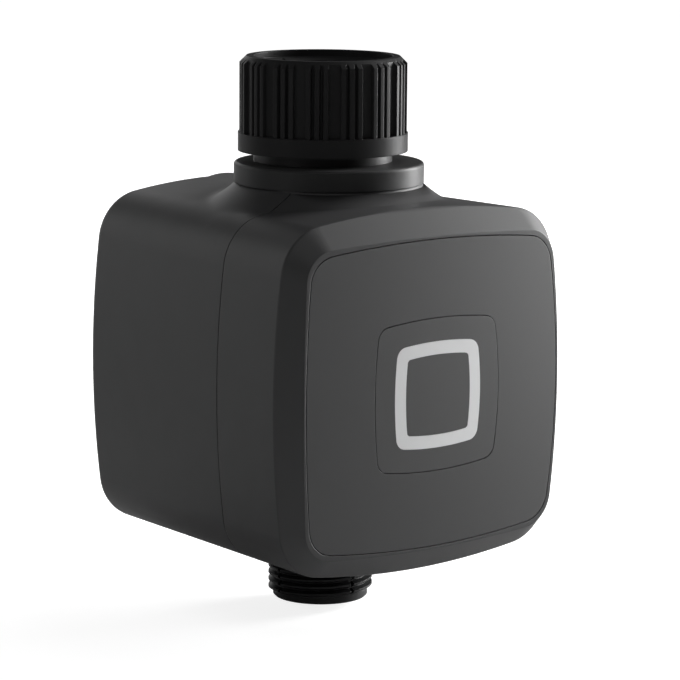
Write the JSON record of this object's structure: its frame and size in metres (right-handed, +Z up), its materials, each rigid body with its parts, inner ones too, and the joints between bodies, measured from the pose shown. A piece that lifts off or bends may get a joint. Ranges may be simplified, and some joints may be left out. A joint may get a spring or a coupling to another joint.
{
  "type": "smart water timer",
  "caption": "Tap timer with a square housing, a press button with a light ring, a ribbed swivel nut above and a threaded hose spout below.",
  "frame": {"origin": "on the pipe axis, on the washer face that the tap's end presses on", "axes": "+Z up along the pipe axis towards the tap, -Y out of the front face with the button"},
  "size_m": [0.0888, 0.0916, 0.1372],
  "materials": {
    "housing_plastic": "fine matt moulded finish",
    "face_plastic": "very fine matt finish",
    "nut_plastic": "glossy moulded finish",
    "fitting_plastic": "satin moulded finish",
    "ring_plastic": "translucent light guide",
    "valve_plastic": "glass filled moulding",
    "pale_plastic": "natural moulding",
    "tray_plastic": "moulded",
    "black_rubber": "soft",
    "clear_rubber": "translucent silicone",
    "filter_steel": "woven look, pressed from sheet",
    "screw_steel": "zinc plated",
    "magnetic_steel": "turned",
    "magnet_metal": "nickel plated",
    "spring_steel": "drawn wire",
    "contact_brass": "plated",
    "copper_wire": "enamelled winding",
    "lead_cover": "insulated wire",
    "board_laminate": "solder mask",
    "chip_plastic": "moulded package",
    "can_metal": "pressed can",
    "light_plastic": "clear lens",
    "cell_cover": "plain sleeve"
  },
  "bodies": {
    "base": {"rear_housing": "housing_plastic", "inlet_collar": "fitting_plastic", "inlet_nipple": "fitting_plastic", "inlet_oring": "black_rubber", "valve_block": "valve_plastic", "valve_screws": "screw_steel", "outlet_spout": "fitting_plastic", "outlet_oring": "black_rubber", "diaphragm": "black_rubber", "diaphragm_spring": "spring_steel", "valve_bonnet": "valve_plastic", "bonnet_screws": "screw_steel", "plunger_tube": "magnetic_steel", "plunger_spring": "spring_steel", "pole_piece": "magnetic_steel", "latch_magnet": "magnet_metal", "coil_bobbin": "pale_plastic", "solenoid_coil": "copper_wire", "solenoid_yoke": "magnetic_steel", "solenoid_leads": "lead_cover", "bulkhead": "housing_plastic", "bulkhead_screws": "screw_steel", "housing_seal": "black_rubber", "contact_pads": "contact_brass"},
    "nut": {"coupling_nut": "nut_plastic"},
    "inlet_filter": {"inlet_washer": "black_rubber", "filter_frame": "pale_plastic", "filter_mesh": "filter_steel"},
    "control_head": {"front_housing": "housing_plastic", "face_plate": "face_plastic", "button_membrane": "clear_rubber", "main_board": "board_laminate", "switch_body": "chip_plastic", "status_lights": "light_plastic", "radio_module": "can_metal", "control_chip": "chip_plastic", "board_capacitors": "can_metal", "board_screws": "screw_steel", "battery_tray": "tray_plastic", "tray_screws": "screw_steel", "battery_cells": "cell_cover", "battery_contacts": "contact_brass", "battery_springs": "spring_steel", "contact_pins": "contact_brass"},
    "button": {"button_cap": "face_plastic", "light_ring": "ring_plastic"},
    "switch_plunger": {"switch_plunger": "pale_plastic"},
    "plunger": {"plunger": "magnetic_steel", "plunger_seal": "black_rubber"},
    "poppet": {"poppet": "pale_plastic"}
  },
  "joints": [
    {"name": "nut_spin", "type": "hinge", "parent": "base", "child": "nut", "pos_m": [0, 0, 0], "axis": [0, 0, 1], "continuous": true},
    {"name": "filter_lift", "type": "slide", "parent": "base", "child": "inlet_filter", "axis": [0, 0, 1], "range_m": [0, 0.03]},
    {"name": "head_slide", "type": "slide", "parent": "base", "child": "control_head", "axis": [0, -1, 0], "range_m": [0, 0.04]},
    {"name": "button_press", "type": "slide", "parent": "control_head", "child": "button", "axis": [0, 1, 0], "range_m": [0, 0.0005], "stiffness_N_per_m": 1000, "springref_m": -0.0006, "deforming": ["button_membrane"]},
    {"name": "switch_press", "type": "slide", "parent": "control_head", "child": "switch_plunger", "axis": [0, 1, 0], "range_m": [0, 0.0005]},
    {"name": "plunger_lift", "type": "slide", "parent": "base", "child": "plunger", "axis": [0, 1, 0], "range_m": [0, 0.003], "stiffness_N_per_m": 250, "springref_m": -0.004, "deforming": ["plunger_spring"]},
    {"name": "poppet_lift", "type": "slide", "parent": "base", "child": "poppet", "axis": [0, 1, 0], "range_m": [0, 0.0024], "stiffness_N_per_m": 100, "springref_m": -0.003, "deforming": ["diaphragm", "diaphragm_spring"]}
  ],
  "couplings": [
    {"joint": "switch_press", "follows": "button_press", "ratio": 1},
    {"joint": "poppet_lift", "follows": "plunger_lift", "ratio": 0.8}
  ]
}
